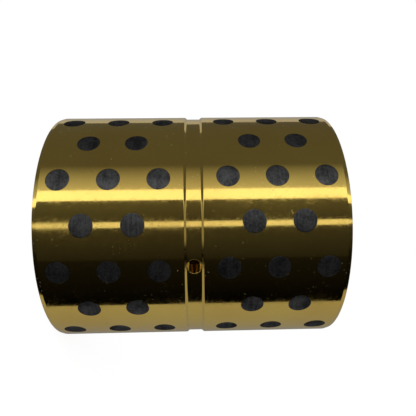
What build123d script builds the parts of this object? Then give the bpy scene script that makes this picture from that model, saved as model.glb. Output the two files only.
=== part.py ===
from build123d import *
import math
import os

# A turned bronze bushing whose wall is drilled through and filled with solid graphite plugs.
# It stands on one end: the axis is +Z, and the origin is the centre of the bottom end face.
# "Front" is the -Y side. Turns are degrees from the front, positive towards -X.
# All lengths are millimetres.

# The turned sleeve
BORE_DIAMETER = 100.0
WALL = 10.0
LENGTH = 140.0
LEAD_CHAMFER_LENGTH = 1.9    # along the axis, at both ends of the outside, to enter a housing
LEAD_CHAMFER_DEPTH = 0.55    # in the radius
BORE_CHAMFER = 0.8           # 45 degrees, at both ends of the bore

# The grease groove round the middle of the outside
GROOVE_FLOOR_WIDTH = 6.6
GROOVE_DEPTH = 0.95
GROOVE_WALL_SLOPE = 41.0     # degrees from the axis

# The oil hole, from the groove floor to the bore
OIL_HOLE_DIAMETER = 6.7
OIL_HOLE_COUNTERSINK = 0.10  # 45 degrees, measured on the radius
OIL_HOLE_TURN = -16.0

# The graphite plugs: rings of them are stacked from the groove to each end of the sleeve,
# and every other ring is turned by half a pitch, so rows of three and rows of two alternate
PLUG_DIAMETER = 10.4
BOND_GAP = 0.05              # the film of adhesive round each plug, on the radius
PLUG_ROWS = 18               # rows along the axis, all round the sleeve
RINGS_PER_HALF = 5           # rings of plugs between the groove and one end
FIRST_RING_FROM_MIDDLE = 15.5
LAST_RING_FROM_END = 10.0
LOWER_ROWS_TURN = 2.5        # turn of row 1 below the groove
UPPER_ROWS_TURN = 3.5        # turn of row 1 above the groove, which was indexed separately

OVERRUN = 5.0                # how far the drills run past the surfaces that they cut

BORE_RADIUS = BORE_DIAMETER / 2
OUTSIDE_RADIUS = BORE_RADIUS + WALL
MIDDLE = LENGTH / 2
GROOVE_FLOOR_RADIUS = OUTSIDE_RADIUS - GROOVE_DEPTH
PLUG_RADIUS = PLUG_DIAMETER / 2
PLUG_HOLE_RADIUS = PLUG_RADIUS + BOND_GAP
OIL_HOLE_RADIUS = OIL_HOLE_DIAMETER / 2
ROW_PITCH = 360.0 / PLUG_ROWS
RING_PITCH = (MIDDLE - LAST_RING_FROM_END - FIRST_RING_FROM_MIDDLE) / (RINGS_PER_HALF - 1)


def radial_plane(turn, height):
    """A plane on the axis at that height, whose normal points outwards through the wall."""
    angle = math.radians(-90.0 - turn)
    outwards = (math.cos(angle), math.sin(angle), 0)
    return Plane(origin=(0, 0, height), x_dir=(0, 0, 1), z_dir=outwards)


def radial_rod(radius):
    """A straight rod, wide enough to cross the wall once it is put on a radial plane."""
    reach = WALL + 2 * OVERRUN
    rod = Cylinder(radius, reach, align=(Align.CENTER, Align.CENTER, Align.MIN))
    return Pos(0, 0, BORE_RADIUS - OVERRUN) * rod


def ring_offsets(row):
    """How far a row's plugs sit from mid-length: in rings 2 and 4, or in rings 1, 3 and 5."""
    rings = [ring for ring in range(RINGS_PER_HALF) if ring % 2 != row % 2]
    return [FIRST_RING_FROM_MIDDLE + ring * RING_PITCH for ring in rings]


def plug_places(row, side):
    """The radial planes of one row of plugs, below (side -1) or above (side +1) the groove."""
    first_turn = LOWER_ROWS_TURN if side < 0 else UPPER_ROWS_TURN
    turn = first_turn + row * ROW_PITCH
    return [radial_plane(turn, MIDDLE + side * offset) for offset in ring_offsets(row)]


def turned_blank():
    """The sleeve as it leaves the lathe: bore, outside, end chamfers and grease groove."""
    floor_half = GROOVE_FLOOR_WIDTH / 2
    mouth_half = floor_half + GROOVE_DEPTH / math.tan(math.radians(GROOVE_WALL_SLOPE))
    lower_half = [
        (BORE_RADIUS, BORE_CHAMFER),
        (BORE_RADIUS + BORE_CHAMFER, 0),
        (OUTSIDE_RADIUS - LEAD_CHAMFER_DEPTH, 0),
        (OUTSIDE_RADIUS, LEAD_CHAMFER_LENGTH),
        (OUTSIDE_RADIUS, MIDDLE - mouth_half),
        (GROOVE_FLOOR_RADIUS, MIDDLE - floor_half),
    ]
    upper_half = [(radius, LENGTH - height) for radius, height in reversed(lower_half)]
    section = make_face(Polyline(*lower_half, *upper_half, close=True))
    return revolve(Plane.XZ * section, Axis.Z)


def oil_drill():
    """The tool that drills the oil hole and breaks its edge on the groove floor."""
    cone_base = GROOVE_FLOOR_RADIUS - OIL_HOLE_COUNTERSINK
    cone_height = OIL_HOLE_COUNTERSINK + GROOVE_DEPTH
    cone = Cone(
        OIL_HOLE_RADIUS,
        OIL_HOLE_RADIUS + cone_height,
        cone_height,
        align=(Align.CENTER, Align.CENTER, Align.MIN),
    )
    return radial_rod(OIL_HOLE_RADIUS) + Pos(0, 0, cone_base) * cone


def bronze_sleeve(places):
    """The turned blank with its oil hole and one through hole at each plug's place."""
    plug_drill = radial_rod(PLUG_HOLE_RADIUS)
    drills = [place * plug_drill for place in places]
    drills.append(radial_plane(OIL_HOLE_TURN, MIDDLE) * oil_drill())
    return turned_blank() - drills


def graphite_plug():
    """A plug on the -Y side at height 0, its ends machined flush with the outside and bore."""
    span = 2 * PLUG_DIAMETER
    wall_piece = Cylinder(OUTSIDE_RADIUS, span) - Cylinder(BORE_RADIUS, span)
    return wall_piece & (radial_plane(0, 0) * radial_rod(PLUG_RADIUS))


os.makedirs("parts", exist_ok=True)

rows = [(row, side) for side in (-1, 1) for row in range(PLUG_ROWS)]
all_places = [place for row, side in rows for place in plug_places(row, side)]
export_step(bronze_sleeve(all_places), "parts/bronze_sleeve.step")

plug = graphite_plug()
home = radial_plane(0, 0)
for row, side in rows:
    plugs = [place.location * home.location.inverse() * plug for place in plug_places(row, side)]
    half = "lower" if side < 0 else "upper"
    export_step(Compound(children=plugs), f"parts/{half}_plugs_row_{row + 1:02d}.step")
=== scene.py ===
import math

import bmesh
import bpy
from mathutils import Matrix, Vector


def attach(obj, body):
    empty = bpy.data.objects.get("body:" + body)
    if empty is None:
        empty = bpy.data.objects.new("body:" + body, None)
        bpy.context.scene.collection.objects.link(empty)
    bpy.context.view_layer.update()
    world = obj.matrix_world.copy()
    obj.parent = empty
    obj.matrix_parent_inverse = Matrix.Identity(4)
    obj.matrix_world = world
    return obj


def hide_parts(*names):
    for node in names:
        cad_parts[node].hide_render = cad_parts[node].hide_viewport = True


# A turned bronze bushing with solid graphite plugs in its wall. It stands on one end with its
# axis on +Z. "Front" is the -Y side, and turns are degrees from the front, positive towards -X.
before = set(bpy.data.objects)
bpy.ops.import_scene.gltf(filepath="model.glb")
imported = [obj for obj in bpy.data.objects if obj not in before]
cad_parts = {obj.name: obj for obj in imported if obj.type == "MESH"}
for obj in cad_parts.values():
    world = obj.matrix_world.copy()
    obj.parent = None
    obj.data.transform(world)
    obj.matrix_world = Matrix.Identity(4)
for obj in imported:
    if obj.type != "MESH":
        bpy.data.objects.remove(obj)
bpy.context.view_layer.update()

MM = 0.001

# Sizes that the sleeve and its plugs are made to, as in the solid model
BORE_RADIUS = 50.0 * MM
OUTSIDE_RADIUS = 60.0 * MM
LENGTH = 140.0 * MM
MIDDLE = LENGTH / 2
LEAD_CHAMFER_LENGTH = 1.9 * MM
LEAD_CHAMFER_DEPTH = 0.55 * MM
BORE_CHAMFER = 0.8 * MM
GROOVE_FLOOR_HALF = 3.3 * MM
GROOVE_DEPTH = 0.95 * MM
GROOVE_WALL_SLOPE = math.radians(41.0)
GROOVE_FLOOR_RADIUS = OUTSIDE_RADIUS - GROOVE_DEPTH
OIL_HOLE_RADIUS = 3.35 * MM
OIL_HOLE_TURN = -16.0
PLUG_RADIUS = 5.2 * MM
PLUG_HOLE_RADIUS = 5.25 * MM
PLUG_ROWS = 18
RINGS_PER_HALF = 5
FIRST_RING_FROM_MIDDLE = 15.5 * MM
LAST_RING_FROM_END = 10.0 * MM
RING_PITCH = (MIDDLE - LAST_RING_FROM_END - FIRST_RING_FROM_MIDDLE) / (RINGS_PER_HALF - 1)
HALVES = (("lower", -1, 2.5), ("upper", 1, 3.5))   # name, side of the groove, turn of row 1

# Fineness of the shown surfaces
SLEEVE_STEPS = 360
HOLE_STEPS = 64
EDGE_ROUNDING = 0.12 * MM
GROOVE_ROUNDING = 0.15 * MM
HOLE_RIM = 0.03 * MM         # edge broken round each plug hole
DRILL_OVERRUN = 1.5 * MM
# The broken edge of the oil hole, in two facets, then a flare that stays inside the groove.
# Each step is (lift above the groove floor, widening of the drill).
OIL_HOLE_RIM = (
    (-0.086 * MM, 0.0),
    (-0.046 * MM, 0.04 * MM),
    (0.03 * MM, 0.17 * MM),
    (GROOVE_DEPTH, 0.95 * GROOVE_DEPTH),
)
OIL_HOLE_SURROUND = 0.13 * MM   # past its radius, what belongs to the oil hole's rim
SAME_PLACE = 1e-6               # metres
SHARP_RING = math.radians(12)   # rings of the turned shape that are eased
SOFT_EDGE = math.radians(28)    # faces of the sleeve that meet at less are shaded as one
PLUG_SOFT_EDGE = math.radians(40)


# ---------------------------------------------------------------- camera

LENS = 35.26
CAMERA_PLACE = (-0.01176, -0.2369, 0.0714)
CAMERA_YAW = math.radians(1.57)
CAMERA_PITCH = math.radians(0.69)
CAMERA_ROLL = math.radians(0.73)


def place_camera():
    """The sleeve lies across the picture: its axis, +Z, points to the right."""
    axis_to_right = Matrix(((0, -1, 0), (0, 0, -1), (1, 0, 0)))
    aim = (Matrix.Rotation(CAMERA_ROLL, 3, "Z") @ Matrix.Rotation(CAMERA_PITCH, 3, "X")
           @ Matrix.Rotation(CAMERA_YAW, 3, "Y"))
    turn = axis_to_right @ aim.transposed()
    data = bpy.data.cameras.new("camera")
    data.lens = LENS
    data.clip_start = 0.01
    camera = bpy.data.objects.new("camera", data)
    camera.matrix_world = Matrix.Translation(CAMERA_PLACE) @ turn.to_4x4()
    bpy.context.scene.collection.objects.link(camera)
    bpy.context.scene.camera = camera


place_camera()
bpy.context.scene.view_settings.view_transform = "Standard"


# ---------------------------------------------------------------- small helpers

def show(name, bm, *materials):
    """Turns a finished bmesh into an object at the origin."""
    mesh = bpy.data.meshes.new(name)
    bm.to_mesh(mesh)
    bm.free()
    thing = bpy.data.objects.new(name, mesh)
    for material in materials:
        mesh.materials.append(material)
    bpy.context.scene.collection.objects.link(thing)
    return thing


def add_node(tree, kind, inputs=None, **settings):
    """A node with its settings made and its sockets set or linked."""
    made = tree.nodes.new(kind)
    for name, value in settings.items():
        setattr(made, name, value)
    for socket, value in (inputs or {}).items():
        if isinstance(value, bpy.types.NodeSocket):
            tree.links.new(value, made.inputs[socket])
        else:
            made.inputs[socket].default_value = value
    return made


def new_material(name):
    material = bpy.data.materials.new(name)
    material.use_nodes = True
    tree = material.node_tree
    tree.nodes.clear()
    return material, tree


def math_node(tree, operation, first, second=0.5):
    return add_node(tree, "ShaderNodeMath", {0: first, 1: second}, operation=operation).outputs[0]


def ramp(tree, value, start, end, low=0.0, high=1.0):
    """Maps start..end to low..high, and holds the ends."""
    return add_node(tree, "ShaderNodeMapRange",
                    {"Value": value, "From Min": start, "From Max": end,
                     "To Min": low, "To Max": high}).outputs[0]


def blend_colours(tree, factor, first, second):
    """The first colour where the factor is 0, and the second where it is 1."""
    made = add_node(tree, "ShaderNodeMix", {0: factor}, data_type="RGBA")
    for socket, colour in ((6, first), (7, second)):
        if isinstance(colour, bpy.types.NodeSocket):
            tree.links.new(colour, made.inputs[socket])
        else:
            made.inputs[socket].default_value = colour + (1.0,)
    return made.outputs[2]


def grains(tree, place, stretch, detail=2.0):
    """Noise with its own number of grains per metre in each direction, from 0 to 1."""
    moved = add_node(tree, "ShaderNodeMapping", {"Vector": place, "Scale": stretch})
    noise = add_node(tree, "ShaderNodeTexNoise",
                     {"Vector": moved.outputs[0], "Scale": 1.0, "Detail": detail})
    return noise.outputs["Fac"]


def spots(tree, place, per_metre, size):
    """Round spots on a cell grid: 1 inside, 0 outside, with a soft edge."""
    cells = add_node(tree, "ShaderNodeTexVoronoi", {"Vector": place, "Scale": per_metre})
    return ramp(tree, cells.outputs["Distance"], size * 0.6, size, 1.0, 0.0)


def relief(tree, steps):
    """Bumps laid over each other. Each step is (height, depth in metres)."""
    normal = None
    for height, depth in steps:
        inputs = {"Height": height, "Distance": depth}
        if normal is not None:
            inputs["Normal"] = normal
        normal = add_node(tree, "ShaderNodeBump", inputs).outputs[0]
    return normal


def lathe_place(tree):
    """Object coordinates, and a copy whose z follows the turned outline, for a tool's marks."""
    place = add_node(tree, "ShaderNodeTexCoord").outputs["Object"]
    parts = add_node(tree, "ShaderNodeSeparateXYZ", {0: place}).outputs
    squares = [math_node(tree, "MULTIPLY", parts[axis], parts[axis]) for axis in (0, 1)]
    reach = math_node(tree, "SQRT", math_node(tree, "ADD", squares[0], squares[1]))
    along = math_node(tree, "ADD", parts[2], reach)
    turned = add_node(tree, "ShaderNodeCombineXYZ", {0: parts[0], 1: parts[1], 2: along})
    return place, turned.outputs[0]


# ---------------------------------------------------------------- finishes

BRONZE_CLEAN = (0.85, 0.62, 0.15)
BRONZE_WARM = (0.80, 0.55, 0.13)
BRONZE_PIT = (0.30, 0.19, 0.07)
DUST = (0.55, 0.54, 0.50)
GRAPHITE_DARK = (0.046, 0.046, 0.048)
GRAPHITE_PALE = (0.145, 0.146, 0.148)
GRAPHITE_PORE = (0.010, 0.010, 0.010)
GRAPHITE_SHEEN = (0.35, 0.35, 0.35, 1.0)
GRAPHITE_TONES = (0.41, 0.64)   # the range of its mixed noise
ADHESIVE = (0.012, 0.011, 0.010)
ADHESIVE_DARK = (0.004, 0.004, 0.004)


def turned_bronze():
    """Bronze turned, polished and handled: tool lines, haze, pits, scratches and dust."""
    material, tree = new_material("turned_bronze")
    place, turned = lathe_place(tree)
    cut_lines = grains(tree, turned, (20, 20, 3600), 1.0)
    feed_bands = grains(tree, turned, (5, 5, 330), 2.0)
    clouds = grains(tree, place, (26, 26, 26), 3.0)
    swell = grains(tree, place, (45, 45, 30), 1.0)
    fine = grains(tree, turned, (900, 900, 1900), 1.0)
    gate = grains(tree, place, (85, 85, 85), 1.0)
    smudge = ramp(tree, grains(tree, place, (55, 55, 40), 3.0), 0.50, 0.68)
    mottle = ramp(tree, grains(tree, place, (420, 420, 420), 2.0), 0.46, 0.66)
    specks = ramp(tree, grains(tree, place, (1500, 1500, 1500), 1.0), 0.56, 0.72)
    patches = ramp(tree, grains(tree, place, (38, 38, 38), 2.0), 0.30, 0.80)
    frost = math_node(tree, "MULTIPLY", specks, patches)
    pit = math_node(tree, "MULTIPLY", spots(tree, place, 300.0, 0.085),
                    ramp(tree, gate, 0.60, 0.63))
    dust = math_node(tree, "MULTIPLY", spots(tree, place, 700.0, 0.09),
                     ramp(tree, gate, 0.42, 0.36))
    contours = grains(tree, place, (60, 60, 150), 1.0)
    hairline = math_node(tree, "ABSOLUTE", math_node(tree, "SUBTRACT", contours))
    scratch = math_node(tree, "MULTIPLY", ramp(tree, hairline, 0.0, 0.003, 1.0, 0.0),
                        ramp(tree, gate, 0.64, 0.67))

    colour = blend_colours(tree, ramp(tree, clouds, 0.35, 0.65), BRONZE_CLEAN, BRONZE_WARM)
    colour = blend_colours(tree, pit, colour, BRONZE_PIT)
    colour = blend_colours(tree, dust, colour, DUST)

    rough = ramp(tree, fine, 0.30, 0.70, 0.050, 0.085)
    marks = ((smudge, 0.05), (mottle, 0.04), (frost, 0.22),
             (scratch, 0.10), (pit, 0.30), (dust, 0.50))
    for mark, extra in marks:
        rough = math_node(tree, "ADD", rough, math_node(tree, "MULTIPLY", mark, extra))

    surface = relief(tree, ((swell, 1.0e-5), (feed_bands, 3.0e-6), (cut_lines, 1.2e-6),
                            (fine, 1.6e-6), (scratch, -1.5e-6), (pit, -8.0e-5)))
    shader = add_node(tree, "ShaderNodeBsdfPrincipled",
                      {"Base Color": colour, "Roughness": rough,
                       "Metallic": math_node(tree, "SUBTRACT", 1.0, dust), "Normal": surface})
    add_node(tree, "ShaderNodeOutputMaterial", {"Surface": shader.outputs[0]})
    return material


def graphite():
    """Pressed graphite machined with the sleeve: dark grey, with tool streaks and open pores."""
    material, tree = new_material("graphite")
    place, turned = lathe_place(tree)
    streaks = grains(tree, turned, (70, 70, 2600), 2.0)
    broad = grains(tree, turned, (40, 40, 700), 1.0)
    mottle = grains(tree, place, (900, 900, 900), 3.0)
    clouds = grains(tree, place, (150, 150, 150), 1.0)
    pore = math_node(tree, "MULTIPLY", spots(tree, place, 900.0, 0.17),
                     ramp(tree, mottle, 0.52, 0.58))
    tone = 0.0
    for layer, share in ((streaks, 0.20), (broad, 0.15), (mottle, 0.35), (clouds, 0.35)):
        tone = math_node(tree, "ADD", math_node(tree, "MULTIPLY", layer, share), tone)
    colour = blend_colours(tree, ramp(tree, tone, *GRAPHITE_TONES), GRAPHITE_DARK, GRAPHITE_PALE)
    colour = blend_colours(tree, pore, colour, GRAPHITE_PORE)
    rough = ramp(tree, tone, *GRAPHITE_TONES, 0.46, 0.38)
    rough = math_node(tree, "ADD", rough, math_node(tree, "MULTIPLY", pore, 0.4))
    surface = relief(tree, ((broad, 6.0e-6), (streaks, 5.0e-6), (mottle, 1.6e-5),
                            (pore, -6.0e-5)))
    shader = add_node(tree, "ShaderNodeBsdfPrincipled",
                      {"Base Color": colour, "Metallic": 0.95, "Specular Tint": GRAPHITE_SHEEN,
                       "Roughness": rough, "Normal": surface})
    add_node(tree, "ShaderNodeOutputMaterial", {"Surface": shader.outputs[0]})
    return material


def adhesive():
    """The cured film that holds the plugs: dark, and only seen as a line round each one."""
    material, tree = new_material("adhesive_film")
    place, _ = lathe_place(tree)
    lumps = grains(tree, place, (1500, 1500, 1500), 2.0)
    shader = add_node(tree, "ShaderNodeBsdfPrincipled",
                      {"Base Color": blend_colours(tree, lumps, ADHESIVE_DARK, ADHESIVE),
                       "Roughness": ramp(tree, lumps, 0.3, 0.7, 0.55, 0.75),
                       "Normal": relief(tree, ((lumps, 2.0e-5),))})
    add_node(tree, "ShaderNodeOutputMaterial", {"Surface": shader.outputs[0]})
    return material


BRONZE = turned_bronze()
GRAPHITE = graphite()
FILM = adhesive()


# ---------------------------------------------------------------- the turned sleeve

def drill_frame(turn, height):
    """A frame on the axis: its x is +Z and its z points outwards through the wall."""
    angle = math.radians(-90.0 - turn)
    out = Vector((math.cos(angle), math.sin(angle), 0))
    axial = Vector((0, 0, 1))
    turned = Matrix((axial, out.cross(axial), out)).transposed().to_4x4()
    return Matrix.Translation((0, 0, height)) @ turned


def plug_frames(row, side, first_turn):
    """One frame for each plug of a row, on one side of the groove."""
    turn = first_turn + row * 360.0 / PLUG_ROWS
    rings = [ring for ring in range(RINGS_PER_HALF) if ring % 2 != row % 2]
    offsets = [FIRST_RING_FROM_MIDDLE + ring * RING_PITCH for ring in rings]
    return [drill_frame(turn, MIDDLE + side * offset) for offset in offsets]


def on_radius(vertex, radius, lift):
    """Lays a vertex of a drill on the cylinder of that radius about the sleeve's axis."""
    vertex.co.z = math.sqrt(radius ** 2 - vertex.co.y ** 2) + lift


def add_drill(bm, place, hole_radius, stations, wall_material):
    """A closed drill. Each station is (radius that it follows, lift above it, widening)."""
    ring = bmesh.ops.create_circle(bm, cap_ends=True, segments=HOLE_STEPS,
                                   radius=hole_radius)["verts"]
    drill = list(ring)
    edges = list({edge for vertex in ring for edge in vertex.link_edges})
    rings = [ring]
    for _ in stations[1:]:
        grown = bmesh.ops.extrude_edge_only(bm, edges=edges)["geom"]
        ring = [item for item in grown if isinstance(item, bmesh.types.BMVert)]
        edges = [edge for edge in grown if isinstance(edge, bmesh.types.BMEdge)
                 and all(vertex in ring for vertex in edge.verts)]
        rings.append(ring)
        drill += ring
        if len(rings) == 3:
            for face in (item for item in grown if isinstance(item, bmesh.types.BMFace)):
                face.material_index = wall_material
    bmesh.ops.edgeloop_fill(bm, edges=edges)
    for ring, (radius, lift, widening) in zip(rings, stations):
        growth = (hole_radius + widening) / hole_radius
        for vertex in ring:
            vertex.co.x *= growth
            vertex.co.y *= growth
            on_radius(vertex, radius, lift)
    bmesh.ops.transform(bm, matrix=place, verts=drill)


def all_drills():
    """Every drill of the sleeve, with the flare that breaks the edge of each hole."""
    bm = bmesh.new()
    plug_hole = (
        (BORE_RADIUS, -DRILL_OVERRUN, HOLE_RIM + DRILL_OVERRUN),
        (BORE_RADIUS, HOLE_RIM, 0.0),
        (OUTSIDE_RADIUS, -HOLE_RIM, 0.0),
        (OUTSIDE_RADIUS, DRILL_OVERRUN, HOLE_RIM + DRILL_OVERRUN),
    )
    oil_hole = (
        (BORE_RADIUS, -DRILL_OVERRUN, HOLE_RIM + DRILL_OVERRUN),
        (BORE_RADIUS, HOLE_RIM, 0.0),
        *((GROOVE_FLOOR_RADIUS, lift, widening) for lift, widening in OIL_HOLE_RIM),
    )
    for _, side, first_turn in HALVES:
        for row in range(PLUG_ROWS):
            for place in plug_frames(row, side, first_turn):
                add_drill(bm, place, PLUG_HOLE_RADIUS, plug_hole, 1)
    add_drill(bm, drill_frame(OIL_HOLE_TURN, MIDDLE), OIL_HOLE_RADIUS, oil_hole, 0)
    bmesh.ops.recalc_face_normals(bm, faces=bm.faces)
    return show("drills", bm, BRONZE, FILM)


def ease_rings(bm, reach, rounding):
    """Rounds the sharp rings of a turned shape that lie within that reach of mid-length."""
    sharp = [edge for edge in bm.edges
             if abs(edge.verts[0].co.z - edge.verts[1].co.z) < SAME_PLACE
             and abs(edge.verts[0].co.xy.length - edge.verts[1].co.xy.length) < SAME_PLACE
             and abs(edge.verts[0].co.z - MIDDLE) < reach + SAME_PLACE
             and edge.calc_face_angle() > SHARP_RING]
    bmesh.ops.bevel(bm, geom=sharp, offset=rounding, offset_type="OFFSET", segments=4,
                    profile=0.5, affect="EDGES", material=-1)


def turned_blank():
    """The sleeve before drilling: bore, outside, end chamfers and grease groove, edges eased."""
    mouth_half = GROOVE_FLOOR_HALF + GROOVE_DEPTH / math.tan(GROOVE_WALL_SLOPE)
    half = [
        (BORE_RADIUS, BORE_CHAMFER),
        (BORE_RADIUS + BORE_CHAMFER, 0.0),
        (OUTSIDE_RADIUS - LEAD_CHAMFER_DEPTH, 0.0),
        (OUTSIDE_RADIUS, LEAD_CHAMFER_LENGTH),
        (OUTSIDE_RADIUS, MIDDLE - mouth_half),
        (GROOVE_FLOOR_RADIUS, MIDDLE - GROOVE_FLOOR_HALF),
    ]
    outline = half + [(radius, LENGTH - height) for radius, height in reversed(half)]
    bm = bmesh.new()
    corners = [bm.verts.new((radius, 0.0, height)) for radius, height in outline]
    sides = [bm.edges.new((corners[i - 1], corners[i])) for i in range(len(corners))]
    bmesh.ops.spin(bm, geom=corners + sides, cent=(0, 0, 0), axis=(0, 0, 1),
                   angle=math.tau, steps=SLEEVE_STEPS, use_merge=True)
    bmesh.ops.recalc_face_normals(bm, faces=bm.faces)
    ease_rings(bm, mouth_half, GROOVE_ROUNDING)
    ease_rings(bm, LENGTH, EDGE_ROUNDING)
    return show("bronze_wall", bm, BRONZE, FILM)


def turned_shading(mesh):
    """Smooth shading that keeps every turned face straight in section and round about the axis.

    Each corner takes its slope from the large faces round it and its turn from its own place.
    """
    mesh.shade_smooth()
    mesh.set_sharp_from_angle(angle=SOFT_EDGE)
    normals = [corner.vector.copy() for corner in mesh.corner_normals]
    oil_hole = drill_frame(OIL_HOLE_TURN, MIDDLE).inverted()
    slopes = {}
    turned = []
    for face in mesh.polygons:
        radial = Vector((face.center.x, face.center.y, 0)).normalized()
        slope = Vector((face.normal.dot(radial), face.normal.z))
        reach = (oil_hole @ face.center).xy.length
        in_oil_hole = reach < OIL_HOLE_RADIUS + OIL_HOLE_SURROUND
        if face.material_index == 0 and slope.length > 0.9999 and not in_oil_hole:
            turned.append((face, slope))
            for index in face.vertices:
                slopes.setdefault(index, []).append((slope, face.area))
    for face, slope in turned:
        for corner, index in zip(face.loop_indices, face.vertices):
            place = mesh.vertices[index].co
            shared = Vector((0, 0))
            for other, area in slopes[index]:
                if other.angle(slope) < SOFT_EDGE:
                    shared += other * area
            shared.normalize()
            radial = Vector((place.x, place.y, 0)).normalized()
            normals[corner] = Vector((radial.x * shared.x, radial.y * shared.x, shared.y))
    mesh.normals_split_custom_set(normals)


def drilled_sleeve():
    wall = turned_blank()
    drills = all_drills()
    cut = wall.modifiers.new("cut", "BOOLEAN")
    cut.operation = "DIFFERENCE"
    cut.solver = "EXACT"
    cut.object = drills
    bpy.context.view_layer.update()
    shown = wall.evaluated_get(bpy.context.evaluated_depsgraph_get())
    mesh = bpy.data.meshes.new_from_object(shown)
    wall.modifiers.clear()
    wall.data = mesh
    bpy.data.objects.remove(drills)
    turned_shading(mesh)
    return wall


sleeve = drilled_sleeve()
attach(sleeve, "root")
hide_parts("bronze_sleeve")


# ---------------------------------------------------------------- the graphite plugs

PLUG_EDGE_ROUNDING = 0.08 * MM
# Steps towards a plug's centre, between the rings of its ends
PLUG_RINGS = (0.03 * MM, 0.05 * MM, 0.6 * MM, 1.4 * MM, 1.4 * MM, 1.2 * MM)


def edge_drop(reach):
    """How far a plug's end is rounded away at that distance from its own axis."""
    inside = min(max((PLUG_RADIUS - reach) / PLUG_EDGE_ROUNDING, 0.0), 1.0)
    return PLUG_EDGE_ROUNDING * (1.0 - math.sqrt(1.0 - (1.0 - inside) ** 2))


def add_plug(bm, place):
    """A plug with both ends machined with the sleeve, and their edges worn round."""
    ring = bmesh.ops.create_circle(bm, cap_ends=True, segments=HOLE_STEPS,
                                   radius=PLUG_RADIUS)["verts"]
    bottom = ring[0].link_faces[0]
    grown = bmesh.ops.extrude_face_region(bm, geom=[bottom], use_keep_orig=True)["geom"]
    top = next(item for item in grown if isinstance(item, bmesh.types.BMFace))
    ends = []
    for cap, radius, outwards in ((top, OUTSIDE_RADIUS, 1.0), (bottom, BORE_RADIUS, -1.0)):
        rims = list(cap.verts)
        for step in PLUG_RINGS:
            bmesh.ops.inset_individual(bm, faces=[cap], thickness=step, use_even_offset=True)
            rims += list(cap.verts)
        ends.append((rims, radius, outwards))
    made = []
    for rims, radius, outwards in ends:
        for vertex in rims:
            on_radius(vertex, radius, -outwards * edge_drop(vertex.co.xy.length))
        made += rims
    bmesh.ops.transform(bm, matrix=place, verts=made)


def graphite_row(name, places):
    bm = bmesh.new()
    for place in places:
        add_plug(bm, place)
    bmesh.ops.recalc_face_normals(bm, faces=bm.faces)
    row = show(name, bm, GRAPHITE)
    row.data.shade_smooth()
    row.data.set_sharp_from_angle(angle=PLUG_SOFT_EDGE)
    return row


for half, side, first_turn in HALVES:
    for row in range(PLUG_ROWS):
        places = plug_frames(row, side, first_turn)
        plugs = graphite_row(f"graphite_{half}_row_{row + 1:02d}", places)
        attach(plugs, "root")
        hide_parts(f"{half}_plugs_row_{row + 1:02d}")


# ---------------------------------------------------------------- studio

TENT_RADIUS = 0.60
TENT_ENDS = (-2.0, 2.1)
TENT_END_GLOW = 0.3
BOARD_STEP = 3.0          # degrees between a board's straight lines
FULL_TURN = (-180, 179.9)   # just open, so that its two edges stay apart

# White boards, lamps and a black flag round the sleeve, as in any studio for bright metal. Each
# runs the whole length of the tent: its first and last turn in degrees from the camera towards
# -X, and its glow at those two edges.
BOARDS = (
    ("back_lamp", -180, -165, 1.0, 1.0),
    ("white_table", -165, -80, 0.2, 0.4),
    ("black_flag", -80, -30, 0.0, 0.01),
    ("dim_wall", -30, 0, 0.02, 0.05),
    ("strip_lamp", 0, 5, 1.0, 1.0),
    ("dim_wall_two", 5, 25, 0.05, 0.1),
    ("softbox", 25, 35, 1.5, 1.5),
    ("softbox_spill", 35, 60, 0.6, 0.1),
    ("grey_board", 60, 130, 0.1, 0.1),
    ("backdrop", 130, 180, 0.5, 0.1),
)


def glow_material():
    material, tree = new_material("tent_glow")
    glow = add_node(tree, "ShaderNodeAttribute", attribute_name="glow")
    shader = add_node(tree, "ShaderNodeEmission",
                      {"Color": glow.outputs["Color"], "Strength": 1.0})
    add_node(tree, "ShaderNodeOutputMaterial", {"Surface": shader.outputs[0]})
    material.cycles.emission_sampling = "NONE"
    return material


GLOW = glow_material()


def between(first, second, share):
    return first + (second - first) * min(max(share, 0.0), 1.0)


def board(name, outline, turns, glows):
    """A curved board, spun about the axis from one turn to another. Only reflections see it."""
    bm = bmesh.new()
    shade = bm.verts.layers.float_color.new("glow")
    line = [bm.verts.new((radius, 0.0, height)) for radius, height in outline]
    sides = [bm.edges.new(pair) for pair in zip(line, line[1:])]
    span = math.radians(turns[1] - turns[0])
    bmesh.ops.spin(bm, geom=line + sides, cent=(0, 0, 0), axis=(0, 0, 1),
                   angle=span, steps=max(2, round(math.degrees(span) / BOARD_STEP)))
    for vertex in bm.verts:
        radius = vertex.co.xy.length
        across = (math.atan2(vertex.co.y, vertex.co.x) % math.tau) / span
        angle = math.radians(-90.0 - between(*turns, across))
        vertex.co.xy = (radius * math.cos(angle), radius * math.sin(angle))
        vertex[shade] = [between(*glows, across)] * 3 + [1.0]
    panel = show(name, bm, GLOW)
    panel.visible_camera = False
    panel.visible_diffuse = False
    panel.visible_shadow = False


def tent():
    """The boards round the sleeve, and a plain round end past each end of it."""
    for name, first, last, near_glow, far_glow in BOARDS:
        sides = [(TENT_RADIUS, height) for height in TENT_ENDS]
        board("tent_" + name, sides, (first, last), (near_glow, far_glow))
    for end, height in zip(("low", "high"), TENT_ENDS):
        disc = [(MM, height), (TENT_RADIUS, height)]
        board("tent_end_" + end, disc, FULL_TURN, (TENT_END_GLOW, TENT_END_GLOW))


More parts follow.
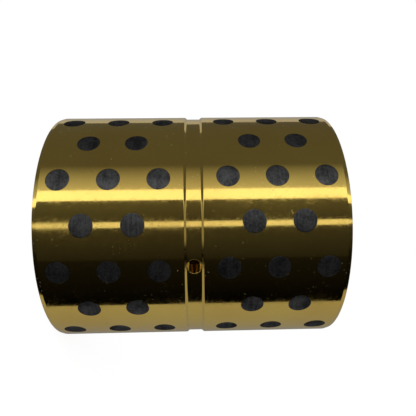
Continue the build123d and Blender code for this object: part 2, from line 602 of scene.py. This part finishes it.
FLOOR_REACH = 30.0
FLOOR_COLOUR = (0.86, 0.86, 0.86, 1.0)
FLOOR_WHITE = 1.12    # the floor's own white where the camera sees it, and the share of that
FLOOR_SHARE = 0.8
WHITE = (1.0, 1.0, 1.0, 1.0)
SOFT_SKY = 0.6        # the world's light on the object
SEEN_SKY = 1.0        # the world where it is seen
KEY_PLACE = (-0.9, -1.1, 1.0)
KEY_SIZE = 0.8
KEY_POWER = 14.0


def floor():
    material, tree = new_material("pale_floor")
    path = add_node(tree, "ShaderNodeLightPath")
    matt = add_node(tree, "ShaderNodeBsdfDiffuse", {"Color": FLOOR_COLOUR})
    white = add_node(tree, "ShaderNodeEmission", {"Color": WHITE, "Strength": FLOOR_WHITE})
    seen = math_node(tree, "MULTIPLY", path.outputs["Is Camera Ray"], FLOOR_SHARE)
    mixed = add_node(tree, "ShaderNodeMixShader",
                     {0: seen, 1: matt.outputs[0], 2: white.outputs[0]})
    add_node(tree, "ShaderNodeOutputMaterial", {"Surface": mixed.outputs[0]})
    bm = bmesh.new()
    bmesh.ops.create_grid(bm, x_segments=1, y_segments=1, size=FLOOR_REACH)
    ground = show("floor", bm, material)
    ground.visible_glossy = False


def white_world():
    """White where the camera, a reflection or a clear ray sees it, and plain soft light else."""
    world = bpy.data.worlds.new("world")
    bpy.context.scene.world = world
    world.use_nodes = True
    tree = world.node_tree
    tree.nodes.clear()
    path = add_node(tree, "ShaderNodeLightPath")
    seen = math_node(tree, "MAXIMUM", path.outputs["Is Camera Ray"], path.outputs["Is Glossy Ray"])
    seen = math_node(tree, "MAXIMUM", seen, path.outputs["Is Transmission Ray"])
    strength = ramp(tree, seen, 0.0, 1.0, SOFT_SKY, SEEN_SKY)
    sky = add_node(tree, "ShaderNodeBackground", {"Color": WHITE, "Strength": strength})
    add_node(tree, "ShaderNodeOutputWorld", {"Surface": sky.outputs[0]})


def soft_light(name, place, aim, size, power):
    data = bpy.data.lights.new(name, "AREA")
    data.shape = "SQUARE"
    data.size = size
    data.energy = power
    light = bpy.data.objects.new(name, data)
    light.location = place
    light.rotation_euler = (Vector(aim) - Vector(place)).to_track_quat("-Z", "Y").to_euler()
    light.visible_glossy = False
    bpy.context.scene.collection.objects.link(light)


tent()
floor()
white_world()
soft_light("key", KEY_PLACE, (0, 0, MIDDLE), KEY_SIZE, KEY_POWER)
